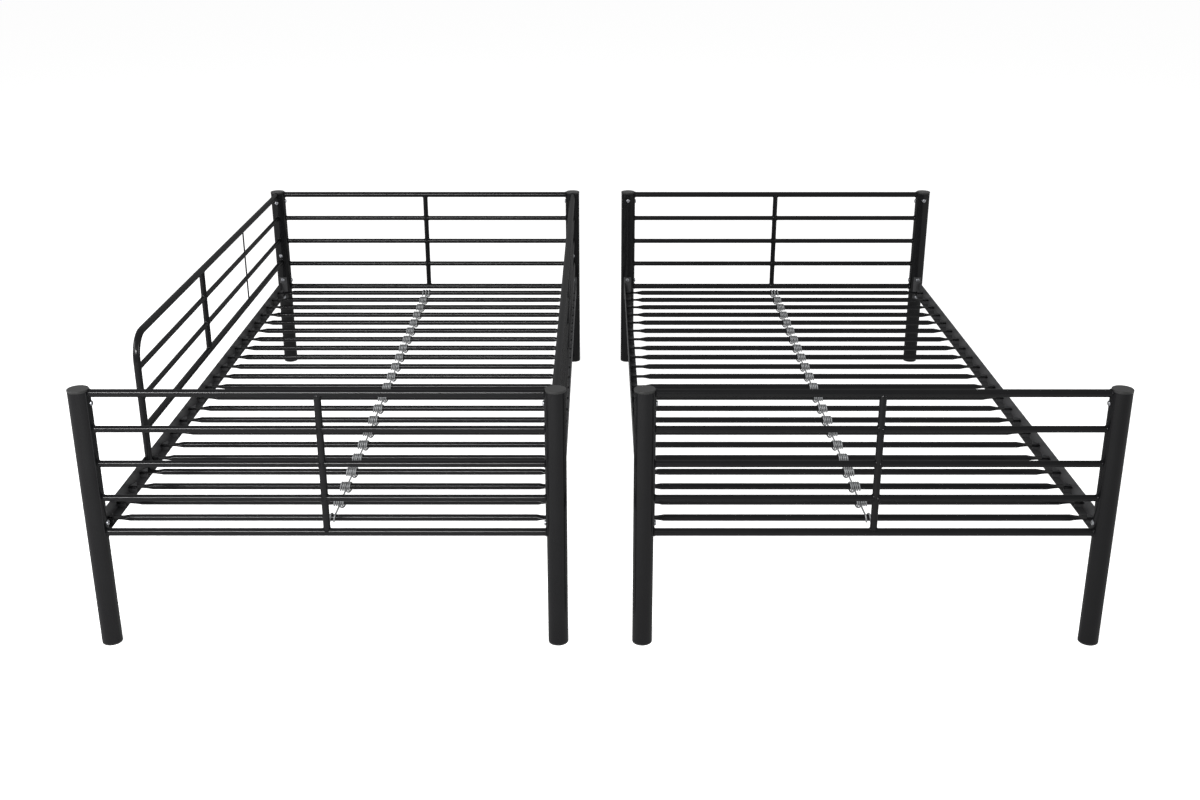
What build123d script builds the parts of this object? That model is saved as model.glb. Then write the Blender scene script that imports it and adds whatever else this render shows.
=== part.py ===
from build123d import *
import math
import os

# Metal bunk bed taken apart: its upper and lower single beds stand side by side.
# Origin on the floor at the middle of the pair, +Z up, the headboards at +Y and the
# upper bunk, which has the guard rails, at -X. Each bed is laid out about its own
# middle and then moved to its place. Lengths are in millimetres.

# The pair of beds
post_pitch_across = 1003.0
post_pitch_along = 1942.5
gap_between_beds = 143.4
overall_height = 605.0

# Round posts and their plastic plugs
post_diameter = 44.7
post_wall = 1.5
top_cap_thickness = 5.0
top_cap_overhang = 0.6
foot_cap_thickness = 4.0
cap_plug_depth = 14.0
cap_plug_wall = 2.0
cap_edge_radius = 1.6

# Headboard and footboard
board_top_setback = 10.4
board_bottom_height = 271.6
board_tube_diameter = 17.2
board_bar_diameter = 14.6
board_upright_diameter = 15.5
board_bar_rows = 3
tube_wall = 1.2

# Curved strips that seat the boards, rails and guards on the posts
strip_thickness = 2.0
strip_width = 25.0
strip_reach = 5.0

# Side rails of L section, with a hook for each slat
rail_bottom_height = 254.5
rail_height = 35.7
rail_width = 22.0
rail_thickness = 1.8
rail_outer_offset = 10.4
hook_reach = 17.6
hook_rise = 23.7
hook_heel_rise = 15.5
hook_thickness = 2.0
bracket_reach = 9.0

# Slats, round tubes flattened at both ends
slat_count = 22
slat_pitch = 85.2
slat_rise = 15.3
slat_diameter = 15.0
slat_flat_width = 21.0
slat_flat_thickness = 2.4
slat_round_setback = 48.0
slat_flat_setback = 26.5
slat_clearance = 0.3

# Wire ties along the middle of the slats
tie_wire_diameter = 3.8
tie_pitch = 9.6
tie_clearance = 0.1
tie_last_far_place = 12.0
tie_leaving_place = 11.0
tie_far_turns = 3
tie_near_quarters = 6

# Guard rails of the upper bunk
guard_bracket_gap = 50.4
guard_bar_diameter = 13.1
guard_upright_diameter = 15.5
guard_rod_diameter = 4.5
guard_bar_rows = 2
guard_leg_place = -594.9
guard_bend_radius = 60.0
long_guard_rod_place = 485.6
short_guard_rod_place = 472.0

# Button-head bolts
bolt_diameter = 6.0
bolt_length = 12.0
bolt_head_diameter = 12.0
bolt_head_height = 3.3
bolt_head_rounding = 2.2
bolt_socket_width = 4.0
bolt_socket_depth = 2.0
bolt_hole_clearance = 0.6
board_bolt_setback = 22.5
rail_bolt_heights = (300.0, 240.0)
guard_top_bolt_setback = 24.6
guard_bottom_bolt_rise = 21.6
spare_bolt_setback = 17.1
joining_hole_height = 25.0

overrun = 30.0

# Places and sizes worked out from the driving ones
half_across = post_pitch_across / 2
half_along = post_pitch_along / 2
bed_offset = (post_pitch_across + gap_between_beds + post_diameter) / 2
post_radius = post_diameter / 2
strip_radius = post_radius + strip_thickness
board_tube_radius = board_tube_diameter / 2
board_top_height = overall_height - board_top_setback
rail_bracket_top = max(rail_bolt_heights) + bracket_reach
guard_bottom_height = rail_bracket_top + guard_bracket_gap + strip_reach
board_bolt_heights = (
    board_top_height - board_bolt_setback,
    board_bottom_height + board_bolt_setback,
)
guard_bolt_heights = (
    board_top_height - guard_top_bolt_setback,
    guard_bottom_height + guard_bottom_bolt_rise,
)
spare_bolt_height = board_top_height - spare_bolt_setback
ledge_height = rail_bottom_height + rail_thickness
slat_height = rail_bottom_height + slat_rise
slat_places = [(k - (slat_count - 1) / 2) * slat_pitch for k in range(slat_count)]
corners = {
    "head_left": (-1, 1),
    "head_right": (1, 1),
    "foot_left": (-1, -1),
    "foot_right": (1, -1),
}
inward_turn = {-1: 0, 1: 180}
board_bar_radius = board_bar_diameter / 2
guard_bar_radius = guard_bar_diameter / 2


def bar_heights(top, bottom, end_radius, bar_radius, rows):
    """Heights of bars that leave equal clear gaps between two thicker tubes."""
    clear = (top - bottom - 2 * end_radius - 2 * bar_radius * rows) / (rows + 1)
    first = top - end_radius - clear - bar_radius
    return [first - row * (clear + 2 * bar_radius) for row in range(rows)]


board_bar_heights = bar_heights(
    board_top_height, board_bottom_height, board_tube_radius, board_bar_radius, board_bar_rows
)
guard_bar_heights = bar_heights(
    board_top_height, guard_bottom_height, board_tube_radius, guard_bar_radius, guard_bar_rows
)


def corner_point(corner, height=0.0):
    """A corner post's axis in the bed's own frame, at a height."""
    side, end = corners[corner]
    return Vector(side * half_across, end * half_along, height)


def save(name, pieces, bed_side):
    """Write one node, a single solid or a group of them, at its bed's place."""
    place = Location((bed_side * bed_offset, 0, 0))
    moved = [piece.moved(place) for piece in pieces]
    node = moved[0] if len(moved) == 1 else Compound(children=moved)
    node.label = name
    export_step(node, f"parts/{name}.step")


# Straight tubes, cut where they meet round posts, strips and other tubes
def round_tube(start, end, diameter, cutters=(), wall=tube_wall):
    """Hollow straight tube between two points, with the cutters' rods taken out."""
    run = Vector(*end) - Vector(*start)
    with BuildPart() as tube:
        with BuildSketch(Plane(origin=start, z_dir=run)):
            Circle(diameter / 2)
            Circle(diameter / 2 - wall, mode=Mode.SUBTRACT)
        extrude(amount=run.length)
        for cutter in cutters:
            add(cutter, mode=Mode.SUBTRACT)
    return tube.part


def rod(centre, axis, diameter):
    """Solid rod long enough to cut a tube's end or to drill it."""
    with BuildPart() as rod_part:
        with BuildSketch(Plane(origin=centre, z_dir=axis)):
            Circle(diameter / 2)
        extrude(amount=post_diameter, both=True)
    return rod_part.part


# Posts
def make_post(corner, side_face_heights):
    """Post with bolt holes towards the board and towards the side rail."""
    side, end = corners[corner]
    with BuildPart() as post:
        with BuildSketch(Plane.XY.offset(foot_cap_thickness)):
            Circle(post_radius)
            Circle(post_radius - post_wall, mode=Mode.SUBTRACT)
        extrude(amount=overall_height - top_cap_thickness - foot_cap_thickness)
        for height in board_bolt_heights:
            with BuildSketch(Plane(origin=(0, 0, height), z_dir=(-side, 0, 0))):
                Circle(bolt_diameter / 2)
            extrude(amount=overrun, mode=Mode.SUBTRACT)
        for height in side_face_heights:
            with BuildSketch(Plane(origin=(0, 0, height), z_dir=(0, -end, 0))):
                Circle(bolt_diameter / 2)
            extrude(amount=overrun, mode=Mode.SUBTRACT)
    return post.part.moved(Location(corner_point(corner)))


def make_cap(thickness, overhang):
    """Plug with its disc on the floor plane and its skirt up inside the post."""
    bore_radius = post_radius - post_wall
    with BuildPart() as cap:
        with BuildSketch():
            Circle(post_radius + overhang)
        extrude(amount=thickness)
        fillet(cap.edges().sort_by(Axis.Z)[0], cap_edge_radius)
        with BuildSketch(Plane.XY.offset(thickness)):
            Circle(bore_radius)
            Circle(bore_radius - cap_plug_wall, mode=Mode.SUBTRACT)
        extrude(amount=cap_plug_depth)
    return cap.part


def make_caps(thickness, overhang, on_top):
    """Four equal plugs, in the feet or turned over in the tops of a bed's posts."""
    plug = make_cap(thickness, overhang)
    if on_top:
        plug = plug.moved(Location((0, 0, overall_height), (180, 0, 0)))
    return [plug.moved(Location(corner_point(corner))) for corner in corners]


# Curved strips
def make_strip(bottom, top, bolt_heights):
    """Strip that hugs a post's +X side, the post's axis at the origin."""
    with BuildPart() as strip:
        with BuildSketch(Plane.XY.offset(bottom)):
            Circle(strip_radius)
            Circle(post_radius, mode=Mode.SUBTRACT)
            Rectangle(
                strip_radius,
                strip_width,
                align=(Align.MIN, Align.CENTER),
                mode=Mode.INTERSECT,
            )
        extrude(amount=top - bottom)
        for height in bolt_heights:
            with BuildSketch(Plane(origin=(0, 0, height), z_dir=(1, 0, 0))):
                Circle((bolt_diameter + bolt_hole_clearance) / 2)
            extrude(amount=overrun, mode=Mode.SUBTRACT)
    return strip.part


def board_strip_places(end):
    """Both end strips of a board face each other across the bed."""
    return [
        Location((side * half_across, end * half_along, 0), (0, 0, inward_turn[side]))
        for side in (-1, 1)
    ]


def side_strip_place(corner):
    """A strip for a rail or a guard faces along the bed."""
    turn = -90 * corners[corner][1]
    return Location(corner_point(corner), (0, 0, turn))


# Headboard and footboard
def make_board(end):
    """Tubes, bars, upright and end strips of one board, by node name."""
    y = end * half_along
    strip_bottom = board_bottom_height - strip_reach
    strip_top = board_top_height + strip_reach
    strip = make_strip(strip_bottom, strip_top, board_bolt_heights)

    def post_rods(height):
        return [
            rod((side * half_across, y, height), (0, 0, 1), 2 * strip_radius)
            for side in (-1, 1)
        ]

    def cross_tube(height):
        return round_tube(
            (-half_across, y, height),
            (half_across, y, height),
            board_tube_diameter,
            post_rods(height),
        )

    bars = []
    for height in board_bar_heights:
        upright_rod = rod((0, y, height), (0, 0, 1), board_upright_diameter)
        for side in (-1, 1):
            bars.append(
                round_tube(
                    (0, y, height),
                    (side * half_across, y, height),
                    board_bar_diameter,
                    post_rods(height) + [upright_rod],
                )
            )
    upright = round_tube(
        (0, y, board_bottom_height),
        (0, y, board_top_height),
        board_upright_diameter,
        [
            rod((0, y, height), (1, 0, 0), board_tube_diameter)
            for height in (board_bottom_height, board_top_height)
        ],
    )
    return {
        "top_tube": [cross_tube(board_top_height)],
        "bars": bars,
        "bottom_tube": [cross_tube(board_bottom_height)],
        "upright": [upright],
        "end_strips": [strip.moved(place) for place in board_strip_places(end)],
    }


# Side rails
def make_left_rail(leg_bolt):
    """L rail on the left post line, its ends hollowed to sit on the brackets."""
    post_x = -half_across
    web_x = post_x - rail_outer_offset
    web_inner_x = web_x + rail_thickness
    slot_width = slat_flat_width + 2 * slat_clearance
    hook_x = web_inner_x + hook_reach
    with BuildPart() as rail:
        with BuildSketch(Plane.XZ):
            with Locations((web_x, rail_bottom_height)):
                Rectangle(rail_thickness, rail_height, align=Align.MIN)
                Rectangle(rail_width, rail_thickness, align=Align.MIN)
        extrude(amount=half_along, both=True)
        with BuildSketch(*[Plane.XZ.offset(-y) for y in slat_places]):
            Polygon(
                (web_inner_x, ledge_height),
                (hook_x, ledge_height),
                (hook_x, ledge_height + hook_rise),
                (web_inner_x, ledge_height + hook_heel_rise),
                align=None,
            )
        extrude(amount=hook_thickness / 2, both=True)
        with Locations(*[(web_x, y, slat_height) for y in slat_places]):
            Box(
                rail_thickness,
                slot_width,
                slat_flat_thickness,
                align=(Align.MIN, Align.CENTER, Align.CENTER),
                mode=Mode.SUBTRACT,
            )
        with Locations((post_x, half_along), (post_x, -half_along)):
            Cylinder(
                strip_radius,
                rail_bottom_height + rail_height,
                align=(Align.CENTER, Align.CENTER, Align.MIN),
                mode=Mode.SUBTRACT,
            )
        if leg_bolt:
            with BuildSketch(leg_bolt_plane):
                Circle((bolt_diameter + bolt_hole_clearance) / 2)
            extrude(amount=-rail_thickness, mode=Mode.SUBTRACT)
    return rail.part


def make_rail_brackets():
    """Four curved brackets, each with a bolt above and a bolt below the rail."""
    bottom = min(rail_bolt_heights) - bracket_reach
    bracket = make_strip(bottom, rail_bracket_top, rail_bolt_heights)
    return [bracket.moved(side_strip_place(corner)) for corner in corners]


# Slats
def make_slat():
    """Tube along X through the origin, drawn flat and forked at both ends."""
    round_reach = half_across - slat_round_setback
    flat_reach = half_across - slat_flat_setback
    full_reach = half_across + rail_outer_offset
    fork_length = rail_thickness + hook_reach + slat_clearance
    fork_width = hook_thickness + 2 * slat_clearance
    with BuildPart() as slat:
        with BuildSketch(Plane.YZ):
            Circle(slat_diameter / 2)
        extrude(amount=round_reach, both=True)
        for side in (-1, 1):
            with BuildSketch(Plane.YZ.offset(side * round_reach)):
                Circle(slat_diameter / 2)
            with BuildSketch(Plane.YZ.offset(side * flat_reach)):
                Ellipse(slat_flat_width / 2, slat_flat_thickness / 2)
            loft()
            with BuildSketch(Plane.YZ.offset(side * flat_reach)):
                Ellipse(slat_flat_width / 2, slat_flat_thickness / 2)
            extrude(amount=side * (full_reach - flat_reach))
        with Locations((full_reach, 0, 0), (-full_reach, 0, 0)):
            Box(2 * fork_length, fork_width, slat_diameter, mode=Mode.SUBTRACT)
        with BuildSketch(Plane.YZ):
            Circle(slat_diameter / 2 - tube_wall)
        extrude(amount=round_reach, both=True, mode=Mode.SUBTRACT)
    return slat.part


# Wire ties
def tie_nodes():
    """Points and directions of one tie, a quarter turn apart.

    It winds round the slat at the origin, three times over its top, leaves below
    and crosses to the top of the next slat at -Y, which it winds round twice.
    """
    coil_radius = (slat_diameter + tie_wire_diameter) / 2 + tie_clearance
    tilt = math.asin(2 * coil_radius / slat_pitch)
    quarter = math.pi / 2
    step = tie_pitch / 4
    far_quarters = 4 * tie_far_turns
    leaving_angle = -tilt - quarter
    last_top_angle = quarter
    far_x = []
    far_angles = []
    for k in range(far_quarters + 1):
        back = far_quarters - k
        far_angles.append(leaving_angle + back * quarter)
        turned = (far_angles[-1] - last_top_angle) / quarter
        far_x.append(tie_pitch - step * turned)
    far_x[-2:] = [tie_last_far_place, tie_leaving_place]
    arrival_angle = quarter - tilt
    near_x = []
    near_angles = []
    for k in range(tie_near_quarters + 1):
        near_angles.append(arrival_angle + k * quarter)
        near_x.append(tie_pitch / 2 - step * (near_angles[-1] - quarter) / quarter)

    def at(x, angle, centre_y):
        return Vector(
            x, centre_y + coil_radius * math.cos(angle), coil_radius * math.sin(angle)
        )

    def along(x_step, angle, sense):
        arc = coil_radius * quarter * sense
        return Vector(x_step, -arc * math.sin(angle), arc * math.cos(angle)).normalized()

    far = [at(x, a, 0) for x, a in zip(far_x, far_angles)]
    near = [at(x, a, -slat_pitch) for x, a in zip(near_x, near_angles)]
    crossing = (near[0] - far[-1]).normalized()
    far_ways = [along(step, a, -1) for a in far_angles[:-2]]
    far_ways.append(along((far_x[-1] - far_x[-3]) / 2, far_angles[-2], -1))
    far_ways.append(crossing)
    near_ways = [crossing] + [along(-step, a, 1) for a in near_angles[1:]]
    return far, far_ways, near, near_ways


def biarc_middle(start, start_way, end, end_way):
    """Point where two tangent arcs of equal reach meet between two directions."""
    chord = end - start
    both = start_way + end_way
    a = 2 * (start_way.dot(end_way) - 1)
    b = -2 * chord.dot(both)
    c = chord.dot(chord)
    reach = (-b - math.sqrt(b * b - 4 * a * c)) / (2 * a)
    return (start + end + (start_way - end_way) * reach) / 2


def make_tie():
    """One unbroken wire tie and its bare path, the far slat's axis at the origin."""
    far, far_ways, near, near_ways = tie_nodes()

    def winding(points, ways):
        for k in range(len(points) - 1):
            middle = biarc_middle(points[k], ways[k], points[k + 1], ways[k + 1])
            first = TangentArc(points[k], middle, tangent=ways[k])
            TangentArc(middle, points[k + 1], tangent=first % 1)

    with BuildPart() as tie:
        with BuildLine() as path:
            winding(far, far_ways)
            Line(far[-1], near[0])
            winding(near, near_ways)
        with BuildSketch(Plane(origin=far[0], z_dir=far_ways[0])):
            Circle(tie_wire_diameter / 2)
        sweep(path=path.wires()[0])
    return tie.part, path.wires()[0]


def least_gap(path):
    """Least clear gap between turns of a wound tie, measured on points."""
    count = 500
    skip = 34
    points = [path @ (k / count) for k in range(count + 1)]
    nearest = min(
        (points[i] - points[j]).length
        for i in range(count + 1)
        for j in range(i + skip, count + 1)
    )
    return nearest - tie_wire_diameter


# Guard rails
def make_guard_uprights_and_rods(side, rod_places):
    """Centre upright and thin rods of a guard, between its top and bottom tubes."""
    x = side * half_across

    def stander(y, diameter, wall):
        return round_tube(
            (x, y, guard_bottom_height),
            (x, y, board_top_height),
            diameter,
            [
                rod((x, y, height), (0, 1, 0), board_tube_diameter)
                for height in (guard_bottom_height, board_top_height)
            ],
            wall,
        )

    upright = stander(0, guard_upright_diameter, tube_wall)
    rods = [solid_stander(x, y) for y in rod_places]
    return upright, rods


def solid_stander(x, y):
    """Thin rod that runs through the bars from bottom tube to top tube."""
    with BuildPart() as stander:
        with BuildSketch(Plane(origin=(x, y, guard_bottom_height))):
            Circle(guard_rod_diameter / 2)
        extrude(amount=board_top_height - guard_bottom_height)
        for height in (guard_bottom_height, board_top_height):
            add(rod((x, y, height), (0, 1, 0), board_tube_diameter), mode=Mode.SUBTRACT)
    return stander.part


def make_guard_bars(side, far_end, far_cutter_diameter, rod_places):
    """Bars broken at the upright, from the head post to a foot post or a leg."""
    x = side * half_across
    bars = []
    for height in guard_bar_heights:
        upright_rod = rod((x, 0, height), (0, 0, 1), guard_upright_diameter)
        drills = [rod((x, y, height), (0, 0, 1), guard_rod_diameter) for y in rod_places]
        for end, cutter in ((half_along, 2 * strip_radius), (far_end, far_cutter_diameter)):
            end_rod = rod((x, end, height), (0, 0, 1), cutter)
            bars.append(
                round_tube(
                    (x, 0, height),
                    (x, end, height),
                    guard_bar_diameter,
                    [upright_rod, end_rod] + drills,
                )
            )
    return bars


def guard_tube(side, height, far_end, far_cutter_diameter):
    """Thick straight guard tube between the head post and its far end."""
    x = side * half_across
    return round_tube(
        (x, far_end, height),
        (x, half_along, height),
        board_tube_diameter,
        [
            rod((x, half_along, height), (0, 0, 1), 2 * strip_radius),
            rod((x, far_end, height), (0, 0, 1), far_cutter_diameter),
        ],
    )


def make_hoop():
    """Short guard's top tube, bent down into the leg that stands in the rail."""
    x = -half_across
    with BuildPart() as hoop:
        with BuildLine() as path:
            FilletPolyline(
                (x, half_along, board_top_height),
                (x, guard_leg_place, board_top_height),
                (x, guard_leg_place, ledge_height),
                radius=guard_bend_radius,
            )
        with BuildSketch(Plane(origin=path.line @ 0, z_dir=path.line % 0)):
            Circle(board_tube_radius)
            Circle(board_tube_radius - tube_wall, mode=Mode.SUBTRACT)
        sweep(path=path.wires()[0])
        add(
            rod((x, half_along, board_top_height), (0, 0, 1), 2 * strip_radius),
            mode=Mode.SUBTRACT,
        )
        with BuildSketch(leg_bolt_plane):
            Circle(bolt_diameter / 2)
        extrude(amount=-bolt_length, mode=Mode.SUBTRACT)
    return hoop.part


# Bolts
def make_bolt():
    """Button-head bolt, its seat on the XY plane and its shank towards -Z."""
    with BuildPart() as bolt:
        with BuildSketch():
            Circle(bolt_head_diameter / 2)
        extrude(amount=bolt_head_height)
        fillet(bolt.edges().sort_by(Axis.Z)[-1], bolt_head_rounding)
        with BuildSketch(Plane.XY.offset(bolt_head_height)):
            RegularPolygon(bolt_socket_width / 2, 6, major_radius=False)
        extrude(amount=-bolt_socket_depth, mode=Mode.SUBTRACT)
        with BuildSketch():
            Circle(bolt_diameter / 2)
        extrude(amount=-bolt_length)
    return bolt.part


def board_bolts(bolt):
    """Bolts through the end strips of both boards."""
    placed = []
    for side, end in corners.values():
        for height in board_bolt_heights:
            seat = (side * (half_across - strip_radius), end * half_along, height)
            placed.append(bolt.moved(Plane(origin=seat, z_dir=(-side, 0, 0)).location))
    return placed


def side_bolts(bolt, corner_names, heights, seat_radius):
    """Bolts in the posts' faces that look along the bed."""
    placed = []
    for corner in corner_names:
        side, end = corners[corner]
        for height in heights:
            seat = (side * half_across, end * (half_along - seat_radius), height)
            placed.append(bolt.moved(Plane(origin=seat, z_dir=(0, -end, 0)).location))
    return placed


leg_bolt_plane = Plane(
    origin=(-half_across - rail_outer_offset, guard_leg_place, slat_height),
    z_dir=(-1, 0, 0),
)
guard_corners = ("head_left", "head_right", "foot_right")

os.makedirs("parts", exist_ok=True)

tie, tie_path = make_tie()
print(f"least gap between a tie's turns: {least_gap(tie_path):.2f} mm")
slat = make_slat()
bolt = make_bolt()
top_caps = make_caps(top_cap_thickness, top_cap_overhang, True)
foot_caps = make_caps(foot_cap_thickness, 0.0, False)
boards = {"headboard": make_board(1), "footboard": make_board(-1)}
rail_brackets = make_rail_brackets()
slats = [slat.moved(Location((0, y, slat_height))) for y in slat_places]
ties = [tie.moved(Location((0, y, slat_height))) for y in slat_places[1:]]
half_turn = Location((0, 0, 0), (0, 0, 180))

for bed, bed_side in (("upper", -1), ("lower", 1)):
    is_upper = bed == "upper"
    for corner in corners:
        heights = rail_bolt_heights
        if is_upper:
            heights += (joining_hole_height,)
            if corner in guard_corners:
                heights += guard_bolt_heights
        else:
            heights += (spare_bolt_height,)
        save(f"{bed}_{corner}_post", [make_post(corner, heights)], bed_side)
    save(f"{bed}_post_top_caps", top_caps, bed_side)
    save(f"{bed}_post_foot_caps", foot_caps, bed_side)
    for board, pieces in boards.items():
        for piece, solids in pieces.items():
            save(f"{bed}_{board}_{piece}", solids, bed_side)
    save(f"{bed}_left_rail", [make_left_rail(is_upper)], bed_side)
    save(f"{bed}_right_rail", [make_left_rail(False).moved(half_turn)], bed_side)
    save(f"{bed}_rail_brackets", rail_brackets, bed_side)
    save(f"{bed}_slats", slats, bed_side)
    save(f"{bed}_slat_ties", ties if is_upper else [t.moved(half_turn) for t in ties], bed_side)
    save(f"{bed}_board_bolts", board_bolts(bolt), bed_side)
    save(f"{bed}_rail_bolts", side_bolts(bolt, corners, rail_bolt_heights, strip_radius), bed_side)

save("lower_spare_bolts", side_bolts(bolt, corners, [spare_bolt_height], post_radius), 1)

leg_diameter = board_tube_diameter
long_rod_places = [long_guard_rod_place, -long_guard_rod_place]
long_upright, long_rods = make_guard_uprights_and_rods(1, long_rod_places)
short_upright, short_rods = make_guard_uprights_and_rods(-1, [short_guard_rod_place])
guard_strip = make_strip(
    guard_bottom_height - strip_reach, board_top_height + strip_reach, guard_bolt_heights
)
leg_bolt = bolt.moved(leg_bolt_plane.location)
save("long_guard_top_tube", [guard_tube(1, board_top_height, -half_along, 2 * strip_radius)], -1)
save("long_guard_bottom_tube", [guard_tube(1, guard_bottom_height, -half_along, 2 * strip_radius)], -1)
save("long_guard_bars", make_guard_bars(1, -half_along, 2 * strip_radius, long_rod_places), -1)
save("long_guard_upright", [long_upright], -1)
save("short_guard_hoop", [make_hoop()], -1)
save("short_guard_bottom_tube", [guard_tube(-1, guard_bottom_height, guard_leg_place, leg_diameter)], -1)
save("short_guard_bars", make_guard_bars(-1, guard_leg_place, leg_diameter, [short_guard_rod_place]), -1)
save("short_guard_upright", [short_upright], -1)
save("guard_rods", long_rods + short_rods, -1)
save("guard_end_strips", [guard_strip.moved(side_strip_place(c)) for c in guard_corners], -1)
save("guard_bolts", side_bolts(bolt, guard_corners, guard_bolt_heights, strip_radius) + [leg_bolt], -1)
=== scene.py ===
import math
import bmesh
import bpy
import numpy as np
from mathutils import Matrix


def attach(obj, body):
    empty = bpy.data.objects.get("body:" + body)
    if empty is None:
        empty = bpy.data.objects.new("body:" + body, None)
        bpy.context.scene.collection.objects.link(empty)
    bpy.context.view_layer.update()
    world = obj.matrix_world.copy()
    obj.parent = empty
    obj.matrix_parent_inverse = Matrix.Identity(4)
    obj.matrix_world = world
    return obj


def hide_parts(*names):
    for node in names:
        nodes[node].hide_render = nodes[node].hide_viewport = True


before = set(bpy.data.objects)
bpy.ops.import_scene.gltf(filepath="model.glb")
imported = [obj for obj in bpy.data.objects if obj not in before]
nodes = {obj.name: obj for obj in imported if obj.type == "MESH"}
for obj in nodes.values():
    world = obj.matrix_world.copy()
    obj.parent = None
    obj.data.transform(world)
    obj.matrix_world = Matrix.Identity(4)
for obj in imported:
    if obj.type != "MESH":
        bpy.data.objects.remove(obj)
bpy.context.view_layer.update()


# The view of the photograph, from a standing adult's eye past the foot of the beds,
# on the line of the gap between them and looking down at them.
camera = bpy.data.objects.new("camera", bpy.data.cameras.new("camera"))
bpy.context.scene.collection.objects.link(camera)
camera.location = (0.0005, -3.7286, 1.6172)
camera.rotation_euler = (math.radians(69.372), 0, math.radians(0.0196))
camera.data.sensor_width = 36
camera.data.lens = 41.99
bpy.context.scene.camera = camera
bpy.context.scene.view_settings.view_transform = "Standard"


# Posts: drawn steel tube of 45 mm, drilled for the bolts and powder coated black. The
# powder is sprayed on dry and baked, so the coat is satin with a faint orange peel.
half_across = 0.5015
half_along = 0.97125
bed_middle = {"upper": -0.59555, "lower": 0.59555}


def srgb(code):
    """An sRGB hex colour as linear red, green, blue and an alpha of 1. Up to 0.04045 a part
    is divided by 12.92. Past that it gains 0.055, is divided by 1.055 and raised to 2.4."""
    part = np.array([int(code[k : k + 2], 16) for k in (1, 3, 5)]) / 255
    return (*np.where(part <= 0.04045, part / 12.92, ((part + 0.055) / 1.055) ** 2.4), 1.0)


def add(tree, kind, settings, links=()):
    """Adds a shader node of one kind, sets its sockets or properties and links its inputs."""
    node = tree.nodes.new("ShaderNode" + kind)
    for key, value in settings.items():
        if isinstance(key, int) or key in node.inputs:
            node.inputs[key].default_value = value
        else:
            setattr(node, key, value)
    for key, source in links:
        tree.links.new(source, node.inputs[key])
    return node


def coated_steel(name, thin, full, roughness):
    """Powder coat. Two near blacks drift over 60 mm, as the coat's thickness does. A shine
    lies over them, whose share is that from the front plus a growth times the cube of how
    far the surface turns away. Lumps of 1.6 mm, the coarse end of an orange peel, bend the
    surface and vary the shine's roughness by a spread either way. A Mix node's two colours
    are its inputs 6 and 7, and its mixed one is its output 2."""
    drift_size, lump_size = 0.0625, 0.001613
    front_share, growth, spread = 0.008, 0.07, 0.05
    material = bpy.data.materials.new(name)
    material.use_nodes = True
    tree = material.node_tree
    tree.nodes.clear()
    place = add(tree, "TexCoord", {}).outputs["Object"]
    drift = add(tree, "TexNoise", {"Scale": 1 / drift_size, "Detail": 2.0}, [("Vector", place)])
    peel = add(tree, "TexNoise", {"Scale": 1 / lump_size, "Detail": 1.0}, [("Vector", place)])
    tones = {"data_type": "RGBA", 6: srgb(thin), 7: srgb(full)}
    colour = add(tree, "Mix", tones, [("Factor", drift.outputs["Fac"])])
    limits = {"To Min": roughness - spread, "To Max": roughness + spread}
    rough = add(tree, "MapRange", limits, [("Value", peel.outputs["Fac"])])
    lumps = {"Strength": 0.1, "Distance": 0.0001}
    normal = add(tree, "Bump", lumps, [("Height", peel.outputs["Fac"])]).outputs["Normal"]
    pigment = add(tree, "BsdfDiffuse", {}, [("Color", colour.outputs[2]), ("Normal", normal)])
    shine_links = [("Roughness", rough.outputs["Result"]), ("Normal", normal)]
    shine = add(tree, "BsdfGlossy", {"Color": srgb("#ffffff")}, shine_links)
    turned = add(tree, "LayerWeight", {"Blend": 0.5}, [("Normal", normal)]).outputs["Facing"]
    cubed = add(tree, "Math", {"operation": "POWER", 1: 3.0}, [(0, turned)]).outputs["Value"]
    growing = {"operation": "MULTIPLY_ADD", 1: growth, 2: front_share}
    share = add(tree, "Math", growing, [(0, cubed)])
    layers = [(0, share.outputs["Value"]), (1, pigment.outputs["BSDF"]), (2, shine.outputs["BSDF"])]
    coat = add(tree, "MixShader", {}, layers)
    add(tree, "OutputMaterial", {}, [("Surface", coat.outputs["Shader"])])
    return material


def finish_nodes(names, material):
    """Gives the CAD nodes of these names their finish."""
    for name in names:
        for slot in nodes[name].material_slots:
            slot.material = material


satin_black = coated_steel("satin black powder coat", "#070708", "#0c0c0d", 0.2)
finish_nodes([name for name in nodes if name.endswith("_post")], satin_black)


# Headboards and footboards: two thick tubes, three rows of thinner bars and a middle
# upright, all of steel tube, welded up with a curved strip at each end and then coated
# in one piece.
board_middle_heights = (0.2716, 0.5946)
board_tube_radius, board_bar_radius, board_upright_radius = 0.0086, 0.0073, 0.00775
strip_radius = 0.02435
bead_radius, bead_ripple, bead_ripples = 0.0016, 0.1, 14
bead_sides, seam_points = 8, 28
finish_nodes([name for name in nodes if "board_" in name and "bolts" not in name], satin_black)


def heights_between(low, high, tube_radius, bar_radius, rows):
    """Heights of bars with equal clear gaps between themselves and two thicker tubes. A gap
    is the height between the tubes' middles, less two tube radii and a bar's width for
    each row, over one more than the rows."""
    clear = (high - low - 2 * tube_radius - 2 * bar_radius * rows) / (rows + 1)
    return low + tube_radius + bar_radius + clear + np.arange(rows) * (clear + 2 * bar_radius)


def seam_round(seat, way, seat_axis, tube_radius, seat_radius):
    """Curve where a tube's end meets a round piece: round the tube by an angle a, the point
    lies tube_radius sin a across, tube_radius cos a along the seat's axis, and as far out
    from that axis as the seat's circle is there, the root of seat_radius squared less the
    part across squared."""
    angle = np.linspace(0, 2 * math.pi, seam_points + 1)[:-1, None]
    way, seat_axis = np.array(way, float), np.array(seat_axis, float)
    across = np.cross(way, seat_axis)
    out = np.sqrt(seat_radius**2 - (tube_radius * np.sin(angle)) ** 2)
    ring = across * np.sin(angle) + seat_axis * np.cos(angle)
    return np.array(seat) + way * out + tube_radius * ring


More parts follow.
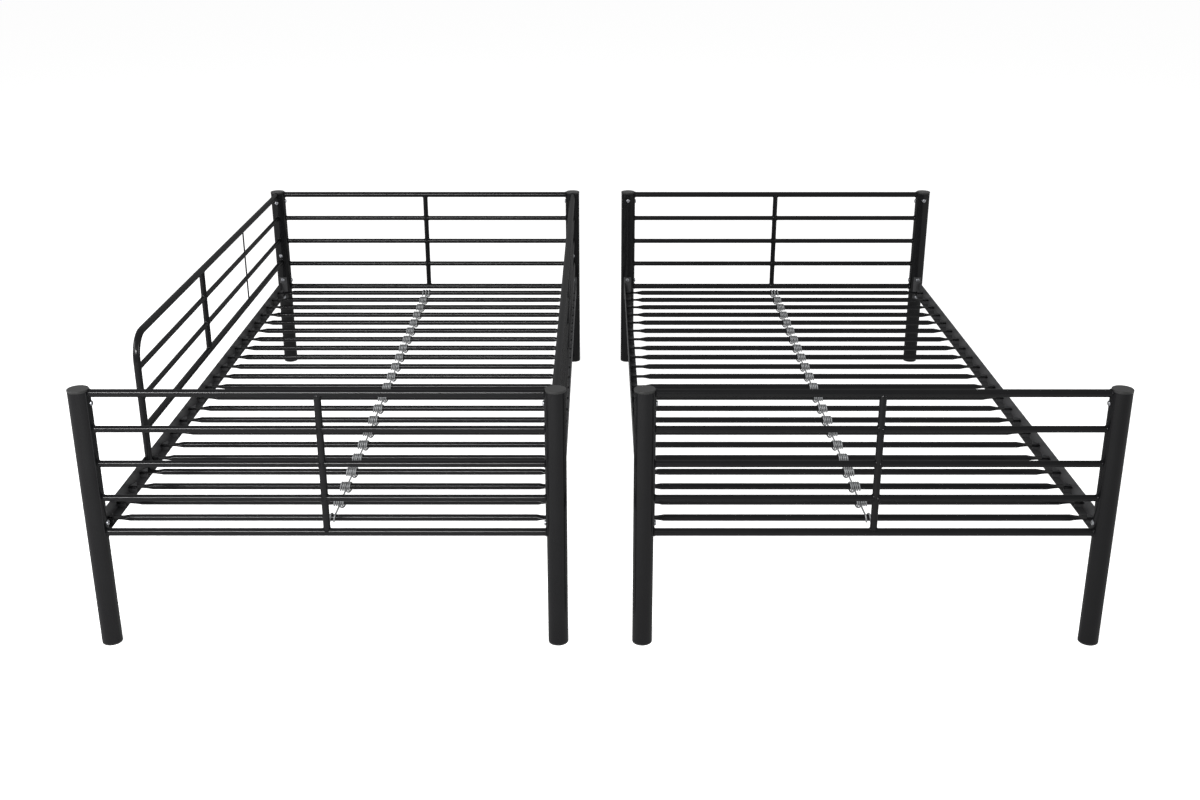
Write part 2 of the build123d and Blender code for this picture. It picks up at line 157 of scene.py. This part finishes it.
def carried_round(paths, radius, sides, reference, closed):
    """A round profile carried along each path: each point plus radius times the cosine and
    sine of an angle along two directions square to the path, the first one also square to
    the reference. Radius may differ from point to point."""
    if closed:
        ahead = np.roll(paths, -1, axis=1) - np.roll(paths, 1, axis=1)
    else:
        ahead = np.gradient(paths, axis=1)
    ahead /= np.linalg.norm(ahead, axis=-1, keepdims=True)
    side = np.cross(ahead, reference)
    side /= np.linalg.norm(side, axis=-1, keepdims=True)
    rise = np.cross(side, ahead)
    angle = np.linspace(0, 2 * math.pi, sides + 1)[:-1, None]
    turned = side[:, :, None] * np.cos(angle) + rise[:, :, None] * np.sin(angle)
    return paths[:, :, None] + np.broadcast_to(radius, paths.shape[:2])[:, :, None, None] * turned


def piece_of(name, grids, closed, body, finish, sharp=40):
    """One piece from grids of points, each a stack of equal surfaces that close round their
    last side, and round the other too where closed is true. Points that fall together, as at
    a pole, are merged, and edges of more than the sharp angle in degrees stay crisp."""
    points = np.concatenate([grid.reshape(-1, 3) for grid in grids])
    quads, start = [], 0
    for grid in grids:
        copies, along, around = grid.shape[:3]
        index = start + np.arange(copies * along * around).reshape(copies, along, around)
        near = index if closed else index[:, :-1]
        far = np.roll(index, -1, axis=1) if closed else index[:, 1:]
        ring = [near, np.roll(near, -1, axis=2), np.roll(far, -1, axis=2), far]
        quads.append(np.stack(ring, axis=-1).reshape(-1, 4))
        start += index.size
    quads = np.concatenate(quads)
    mesh = bpy.data.meshes.new(name)
    mesh.from_pydata(points.tolist(), [], quads.tolist())
    shell = bmesh.new()
    shell.from_mesh(mesh)
    bmesh.ops.remove_doubles(shell, verts=shell.verts, dist=1e-6)
    bmesh.ops.recalc_face_normals(shell, faces=shell.faces)
    shell.to_mesh(mesh)
    shell.free()
    mesh.shade_smooth()
    mesh.set_sharp_from_angle(angle=math.radians(sharp))
    mesh.materials.append(finish)
    piece = bpy.data.objects.new(name, mesh)
    bpy.context.scene.collection.objects.link(piece)
    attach(piece, body)
    return piece


def weld_beads(name, seams, body):
    """A fused bead along each closed seam. Its radius is the bead's own, times 1 plus the
    ripple's share times a sine that turns fully once a ripple, as the weld pool sets."""
    paths = np.array([path for path, reference in seams])
    references = np.array([reference for path, reference in seams], float)
    turned = np.linspace(0, bead_ripples * 2 * math.pi, paths.shape[1] + 1)[:-1]
    thickness = bead_radius * (1 + bead_ripple * np.sin(turned))
    bead = carried_round(paths, thickness, bead_sides, references[:, None, :], True)
    return piece_of(name, [bead], True, body, satin_black)


upward = (0, 0, 1)
board_bar_heights = heights_between(*board_middle_heights, board_tube_radius, board_bar_radius, 3)
for bed, middle in bed_middle.items():
    seams = []
    for end in (-1, 1):
        y = end * half_along
        for side in (-1, 1):
            way, out = (-side, 0, 0), (side, 0, 0)
            post = middle + side * half_across
            for height in board_middle_heights:
                seam = seam_round((post, y, height), way, upward, board_tube_radius, strip_radius)
                seams.append((seam, way))
            for height in board_bar_heights:
                seam = seam_round((post, y, height), way, upward, board_bar_radius, strip_radius)
                seams.append((seam, way))
                seat = (middle, y, height)
                seam = seam_round(seat, out, upward, board_bar_radius, board_upright_radius)
                seams.append((seam, out))
        for height, rise in zip(board_middle_heights, (1, -1)):
            seat, way = (middle, y, height), (0, 0, rise)
            seam = seam_round(seat, way, (1, 0, 0), board_upright_radius, board_tube_radius)
            seams.append((seam, way))
    weld_beads(f"{bed}_board_welds", seams, f"{bed}_bunk")


# Side rails: steel strip rolled to an angle with its web outside. The web is slotted
# and the ledge carries a hook for each slat, and a curved bracket is welded to each end.
# The bead there thins at both ends, as the root of 1 less the eighth power of its way.
# The strip carries the same black powder coat as the posts. Its rougher shine is a real matt
# finish, but its two tones are painted paler. That paleness is painted light: it stands in for the
# light falling into the angle between web and ledge, which the angle's own shade would otherwise
# leave near black.
matt_black_painted_paler = coated_steel("matt black powder coat on strip painted paler", "#29292a", "#333334", 0.4)
finish_nodes([name for name in nodes if name.endswith(("_rail", "_rail_brackets"))], matt_black_painted_paler)
rail_outer, rail_width = 0.0104, 0.022
rail_low, rail_high = 0.2545, 0.2902
rail_bead_radius, web_points, ledge_points = 0.0014, 9, 6
for bed, middle in bed_middle.items():
    paths = []
    for side in (-1, 1):
        for end in (-1, 1):
            web = np.linspace(rail_high, rail_low, web_points)
            ledge = np.linspace(rail_outer, rail_outer - rail_width, ledge_points + 1)[1:]
            out = np.concatenate([np.full(web_points, rail_outer), ledge])
            up = np.concatenate([web, np.full(ledge_points, rail_low)])
            back = np.sqrt(strip_radius**2 - out**2)
            x = middle + side * (half_across + out)
            y = end * (half_along - back)
            paths.append(np.stack([x, y, up], axis=-1))
    way_out = np.linspace(-1, 1, web_points + ledge_points)
    thickness = rail_bead_radius * np.sqrt(np.clip(1 - way_out**8, 0, 1))
    along = np.array([0.0, 1.0, 0.0])
    bead = carried_round(np.array(paths), thickness, bead_sides, along, False)
    body, slot_name = f"{bed}_bunk", "black_powder_coated_steel"
    # The beads at the rail ends take the same paler coat, with its painted light.
    piece_of(f"{bed}_rail_welds", [bead], False, body, matt_black_painted_paler)


# Slats: thin-walled steel tube of 15 mm, pressed flat at both ends in a die, which
# leaves a creased taper, then slit to pass both sides of the rail's hook.
slat_count, slat_pitch, slat_height = 22, 0.0852, 0.2698
slat_radius, slat_flat_half_width, slat_flat_half_thickness = 0.0075, 0.0105, 0.0012
slat_flat_crown, slat_slit_half_width = 0.002, 0.0013
slat_round_end, slat_flat_end, slat_fork, slat_end = 0.4535, 0.475, 0.4922, 0.5119
slat_crease_lead, slat_tip_round, slat_tip_share = 0.002, 0.0004, 0.94
slat_sides, taper_rings = 24, 10
slat_places = (np.arange(slat_count) - (slat_count - 1) / 2) * slat_pitch


def slat_section(reach, angle):
    """Half width and height of the tube's outline at a distance from the bed's middle line.
    The pressed share s runs from 0 to 1 over the taper. Across, the outline is its half
    width, which s widens, times the cosine of the angle. Up, it is its half height, which s
    lowers to the flat's crown, times the sine, but no more than the die's own plane, which
    s lowers too."""
    s = np.clip((reach - slat_round_end) / (slat_flat_end - slat_round_end), 0, 1)
    wide = slat_radius + (slat_flat_half_width - slat_radius) * s
    tall = slat_radius * (1 - s) + slat_flat_crown * s
    die = slat_radius + (slat_flat_half_thickness - slat_radius) * s
    return wide * np.cos(angle), np.clip(tall * np.sin(angle), -die, die)


def slat_grids():
    """Body and four prongs of one slat about the origin, each a closed surface. A ring just
    before the taper keeps its crease, and each prong ends in a tip that is slightly less
    wide and thick than the rest."""
    angle = np.linspace(0, 2 * math.pi, slat_sides + 1)[:-1]
    taper = np.linspace(slat_round_end, slat_flat_end, taper_rings)
    reach = np.concatenate([[slat_round_end - slat_crease_lead], taper, [slat_fork]])
    along = np.concatenate([-reach[::-1], reach])[:, None]
    across, up = slat_section(np.abs(along), angle)
    body = np.stack(np.broadcast_arrays(along, across, up), axis=-1)
    body = np.concatenate([body[:1] * (1, 0, 0), body, body[-1:] * (1, 0, 0)])
    prongs = []
    across, up = slat_section(np.array(slat_end), angle)
    across = np.maximum(across, slat_slit_half_width)
    ends = np.array([slat_fork, slat_fork, slat_end - slat_tip_round, slat_end, slat_end])[:, None]
    share = np.array([0, 1, 1, slat_tip_share, 0])[:, None]
    prong_middle = (slat_flat_half_width + slat_slit_half_width) / 2
    for side in (-1, 1):
        for half in (-1, 1):
            y = half * (prong_middle + (across - prong_middle) * share)
            prongs.append(np.stack(np.broadcast_arrays(ends * side, y, up * share), axis=-1))
    return body[None], np.array(prongs)


def places_on(bed_line, along):
    """Places at the slats' height on a bed's middle line, one for each distance along it."""
    return np.stack([np.full(len(along), bed_line), along, np.full(len(along), slat_height)], -1)


for bed, middle in bed_middle.items():
    places = places_on(middle, slat_places)
    tube, prongs = slat_grids()
    tubes = tube + places[:, None, None, :]
    forks = (prongs[None] + places[:, None, None, None, :]).reshape(-1, *prongs.shape[1:])
    body, slot_name = f"{bed}_bunk", "black_powder_coated_steel"
    name = f"{bed}_pressed_slats"
    slats = piece_of(name, [tubes, forks], False, body, satin_black, sharp=30)
    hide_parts(f"{bed}_slats")


# Wire ties: galvanised wire of 3.8 mm, wound by machine three times round one slat and
# once and a half round the next, so the slats can't spread under a mattress.
# A quarter is a quarter turn, and the bend is where the wire leaves for the next slat.
wire_radius, coil_radius, tie_pitch, near_place = 0.0019, 0.0095, 0.0096, 0.0051
far_quarters, swing_quarters, near_quarters = 10.9, 1.8, 6
swing_rise, swing_end_place = 0.0043, 0.0018
bend_end, bend_sideways = np.array([0.002, -0.0190, -0.0002]), 0.04
bend_first_slope, bend_last_slope = 0.007, 0.009
tip_reach, tip_share = np.array([[0.4], [0.3]]), 0.8
far_points, swing_points, bend_points, crossing_points, near_points = 64, 22, 10, 8, 37
wire_sides = 10


def bright_metal(name, tone, roughness):
    """Zinc on steel. The metal is a cool grey, and patches of 2 mm vary its roughness by a
    spread, as the crystals of a dipped coat or the film of a plated one do."""
    patch_size, spread = 0.002, 0.08
    material = bpy.data.materials.new(name)
    material.use_nodes = True
    tree = material.node_tree
    shader = tree.nodes["Principled BSDF"]
    shader.inputs["Base Color"].default_value = srgb(tone)
    shader.inputs["Metallic"].default_value = 1.0
    place = add(tree, "TexCoord", {}).outputs["Object"]
    mottle = add(tree, "TexNoise", {"Scale": 1 / patch_size, "Detail": 2.0}, [("Vector", place)])
    limits = {"To Min": roughness - spread, "To Max": roughness + spread}
    rough = add(tree, "MapRange", limits, [("Value", mottle.outputs["Fac"])])
    tree.links.new(rough.outputs["Result"], shader.inputs["Roughness"])
    return material


def eased(start, stop, start_slope, stop_slope, points):
    """Points of the cubic that leaves one point with a slope and meets another with one:
    with t from 0 to 1, start times 2t^3 - 3t^2 + 1, plus its slope times t^3 - 2t^2 + t,
    plus stop times 3t^2 - 2t^3, plus its slope times t^3 - t^2. The first is left out."""
    t = np.linspace(0, 1, points)[1:, None]
    shares = 2 * t**3 - 3 * t**2 + 1, t**3 - 2 * t**2 + t, 3 * t**2 - 2 * t**3, t**3 - t**2
    ends = start, start_slope, stop, stop_slope
    return sum(share * np.array(end, float) for share, end in zip(shares, ends))


def tie_path():
    """One tie's centre line, the far slat's axis at the origin and the near one's a slat
    pitch towards the foot. Round each slat the wire is a circle in y and z whose place
    along the slat falls as the angle grows. From the back of the far slat the last half
    turn swings inwards and outside the other turns, and its radius grows by the swing's
    rise times 3 l^2 - 2 l^3 with a lift l from 0 to 1. In front it bends forwards, and the
    straight line from there touches the near slat's circle close to its top. With r for
    the bend's distance from the near slat's axis, that line climbs by the angle whose sine
    is the coil's radius over r, plus the angle by which the bend lies low."""
    quarter = math.pi / 2
    step = tie_pitch / 4
    far_angle = np.linspace(far_quarters * quarter, 0, far_points)[:, None]
    far_x = tie_pitch - step * (far_angle - quarter) / quarter
    radius = np.full(far_angle.shape, coil_radius)
    stop = -swing_quarters * quarter
    first, last = [0, tie_pitch + step], [stop, swing_end_place]
    swing = eased(first, last, [stop, swing_quarters * step], [stop, 0], swing_points)
    lift = np.clip(swing[:, :1] / -quarter, 0, 1)
    far_angle = np.concatenate([far_angle, swing[:, :1]])
    far_x = np.concatenate([far_x, swing[:, 1:]])
    radius = np.concatenate([radius, coil_radius + swing_rise * lift**2 * (3 - 2 * lift)])
    far = np.concatenate([far_x, radius * np.cos(far_angle), radius * np.sin(far_angle)], 1)
    ahead, low = slat_pitch + bend_end[1], -bend_end[2]
    climb = math.asin(coil_radius / math.hypot(ahead, low)) + math.atan2(low, ahead)
    rising = np.array([0, math.sin(stop), -math.cos(stop)])
    level = np.array([bend_sideways, -math.cos(climb), math.sin(climb)])
    slopes = rising * bend_first_slope, level * bend_last_slope
    bend = eased(far[-1], bend_end, *slopes, bend_points)
    near_angle = quarter - climb + np.linspace(0, near_quarters * quarter, near_points)[:, None]
    near_x = near_place - step * (near_angle - quarter) / quarter
    circle = coil_radius * np.cos(near_angle), coil_radius * np.sin(near_angle)
    near = np.concatenate([near_x, *circle], 1)
    near[:, 1] -= slat_pitch
    part = np.linspace(0, 1, crossing_points)[1:-1, None]
    crossing = bend_end + (near[0] - bend_end) * part
    return np.concatenate([far, bend, crossing, near])


# Each end of the wire is rounded off by two more points, which lie shares of a step past
# it. The lower bunk's ties are the upper one's mirrored across the bed.
galvanised = bright_metal("galvanised wire", "#6c6d6e", 0.6)
for bed, middle in bed_middle.items():
    path = tie_path()
    path = np.concatenate([path[:1], path[:1], path, path[-1:], path[-1:]])
    path[[0, 1]] -= (path[3] - path[2]) * tip_reach
    path[[-2, -1]] += (path[-3] - path[-4]) * tip_reach[::-1]
    thickness = np.full(len(path), wire_radius)
    thickness[[0, 1, -2, -1]] = 0, wire_radius * tip_share, wire_radius * tip_share, 0
    if bed == "lower":
        path[:, 0] *= -1
    paths = path[None] + places_on(middle, slat_places[1:])[:, None]
    wire = carried_round(paths, thickness, wire_sides, np.array([1.0, 0.0, 0.0]), False)
    name, body, slot_name = f"{bed}_wound_ties", f"{bed}_bunk", "galvanised_wire"
    ties = piece_of(name, [wire], False, body, galvanised)
    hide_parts(f"{bed}_slat_ties")


# Guard rails of the upper bunk: coated tube and bars welded as the boards are, with
# thin rods pushed through the bars. The short guard's top tube is bent down to a leg. A
# bottom tube as thick as that leg has its seam drawn a thousandth narrower than it.
guard_low, guard_high = 0.3644, board_middle_heights[1]
guard_bar_radius, guard_upright_radius = 0.00655, 0.00775
guard_leg_place, seam_share = -0.5949, 0.999
finish_nodes([name for name in nodes if "guard" in name and "bolts" not in name], satin_black)
guard_bar_heights = heights_between(guard_low, guard_high, board_tube_radius, guard_bar_radius, 2)
head_seat = (half_along, strip_radius, -1)
long_guard_seats = (head_seat, (-half_along, strip_radius, 1))
short_guard_seats = (head_seat, (guard_leg_place, board_tube_radius, 1))
seams = []
for side, seats in ((1, long_guard_seats), (-1, short_guard_seats)):
    x = bed_middle["upper"] + side * half_across
    for place, seat_radius, sense in seats:
        way = (0, sense, 0)
        tubes = [(height, guard_bar_radius) for height in guard_bar_heights]
        tubes.append((guard_low, min(board_tube_radius, seat_radius * seam_share)))
        if seat_radius == strip_radius:
            tubes.append((guard_high, board_tube_radius))
        for height, tube_radius in tubes:
            seam = seam_round((x, place, height), way, upward, tube_radius, seat_radius)
            seams.append((seam, way))
    for sense in (-1, 1):
        way = (0, sense, 0)
        for height in guard_bar_heights:
            seat = (x, 0, height)
            seam = seam_round(seat, way, upward, guard_bar_radius, guard_upright_radius)
            seams.append((seam, way))
    for height, rise in ((guard_low, 1), (guard_high, -1)):
        seat, way = (x, 0, height), (0, 0, rise)
        seam = seam_round(seat, way, (0, 1, 0), guard_upright_radius, board_tube_radius)
        seams.append((seam, way))
weld_beads("guard_welds", seams, "upper_bunk")


# Post caps: plugs moulded in black polyethylene and pushed into the ends of the posts, a
# thicker one on top, which covers the tube's edge, and a thinner one to stand on.
def moulded_plastic(name, dark, pale):
    """Moulded polyethylene: a matt black, somewhat paler than the coat, with a fine grain of
    1 mm from the spark-eroded mould, which mixes its two tones and roughens it."""
    grain_size = 0.001
    material = bpy.data.materials.new(name)
    material.use_nodes = True
    tree = material.node_tree
    shader = tree.nodes["Principled BSDF"]
    place = add(tree, "TexCoord", {}).outputs["Object"]
    noise = add(tree, "TexNoise", {"Scale": 1 / grain_size, "Detail": 2.0}, [("Vector", place)])
    grain = noise.outputs["Fac"]
    tones = {"data_type": "RGBA", 6: srgb(dark), 7: srgb(pale)}
    colour = add(tree, "Mix", tones, [("Factor", grain)])
    bump = add(tree, "Bump", {"Strength": 0.2, "Distance": 0.0002}, [("Height", grain)])
    tree.links.new(colour.outputs[2], shader.inputs["Base Color"])
    tree.links.new(bump.outputs["Normal"], shader.inputs["Normal"])
    shader.inputs["Roughness"].default_value = 0.55
    shader.inputs["Specular IOR Level"].default_value = 0.15
    return material


black_plastic = moulded_plastic("black polyethylene", "#161616", "#1f1f1f")
finish_nodes([name for name in nodes if name.endswith("_caps")], black_plastic)


# Bolts: M6 steel button heads with a hex socket, cold formed and zinc plated grey. They
# hold the boards, rails and guards to the posts through their curved end strips.
zinc_plate = bright_metal("zinc plate", "#6e6f72", 0.35)
finish_nodes([name for name in nodes if name.endswith("bolts")], zinc_plate)


# Floor and surroundings: a plain white studio, which reads as white paper in the view
# and keeps a faint shadow under the beds.
floor_reach = 30.0
floor_mesh = bpy.data.meshes.new("floor")
floor_corners = floor_reach * np.array([(-1, -1, 0), (1, -1, 0), (1, 1, 0), (-1, 1, 0)])
floor_mesh.from_pydata(floor_corners.tolist(), [], [(0, 1, 2, 3)])
floor = bpy.data.objects.new("floor", floor_mesh)
bpy.context.scene.collection.objects.link(floor)


def seen_directly(tree):
    """1 for what the camera sees itself or in a shine, and 0 for light on other things."""
    rays = add(tree, "LightPath", {})
    seen = rays.outputs["Is Camera Ray"]
    for kind in ("Is Glossy Ray", "Is Transmission Ray"):
        links = [(0, seen), (1, rays.outputs[kind])]
        seen = add(tree, "Math", {"operation": "MAXIMUM"}, links).outputs["Value"]
    return seen


paper = bpy.data.materials.new("white studio paper")
paper.use_nodes = True
tree = paper.node_tree
tree.nodes.clear()
glow = add(tree, "MapRange", {"To Min": 0.0, "To Max": 0.8}, [("Value", seen_directly(tree))])
white = add(tree, "Emission", {"Color": srgb("#ffffff")}, [("Strength", glow.outputs["Result"])])
matt = add(tree, "BsdfDiffuse", {"Color": srgb("#bcbcbc")})
sheet = add(tree, "AddShader", {}, [(0, matt.outputs["BSDF"]), (1, white.outputs["Emission"])])
add(tree, "OutputMaterial", {}, [("Surface", sheet.outputs["Shader"])])
floor_mesh.materials.append(paper)

world = bpy.data.worlds.new("studio")
bpy.context.scene.world = world
world.use_nodes = True
tree = world.node_tree
tree.nodes.clear()
glow = add(tree, "MapRange", {"To Min": 0.35, "To Max": 1.0}, [("Value", seen_directly(tree))])
white = add(tree, "Background", {"Color": srgb("#ffffff")}, [("Strength", glow.outputs["Result"])])
add(tree, "OutputWorld", {}, [("Surface", white.outputs["Background"])])


# Lamps: a strip softbox level above the camera's left, which draws the bright line along
# the left bed's tubes, and a square one far out on each side, which lights the rails.
def softbox(name, place, aim, width, depth, power):
    """An oblong area lamp at a place, turned to face a point: tilted up from straight down
    by the angle whose tangent is the level way over the way down, and turned about the
    upright axis to point along the level way."""
    lamp = bpy.data.lights.new(name, "AREA")
    lamp.shape = "RECTANGLE"
    lamp.size = width
    lamp.size_y = depth
    lamp.energy = power
    source = bpy.data.objects.new(name, lamp)
    bpy.context.scene.collection.objects.link(source)
    source.location = place
    way = np.array(aim) - np.array(place)
    tilt = math.atan2(math.hypot(way[0], way[1]), -way[2])
    source.rotation_euler = (tilt, 0, math.atan2(way[1], way[0]) - math.pi / 2)


softbox("strip", (-1.2, -3.4, 2.0), (-0.5, 0, 0.3), 2.0, 0.4, 250)
softbox("left", (-4.2, -1.4, 2.0), (0.3, 0, 0.3), 2.0, 2.0, 200)
softbox("right", (4.2, -1.4, 2.0), (-0.3, 0, 0.3), 2.0, 2.0, 140)
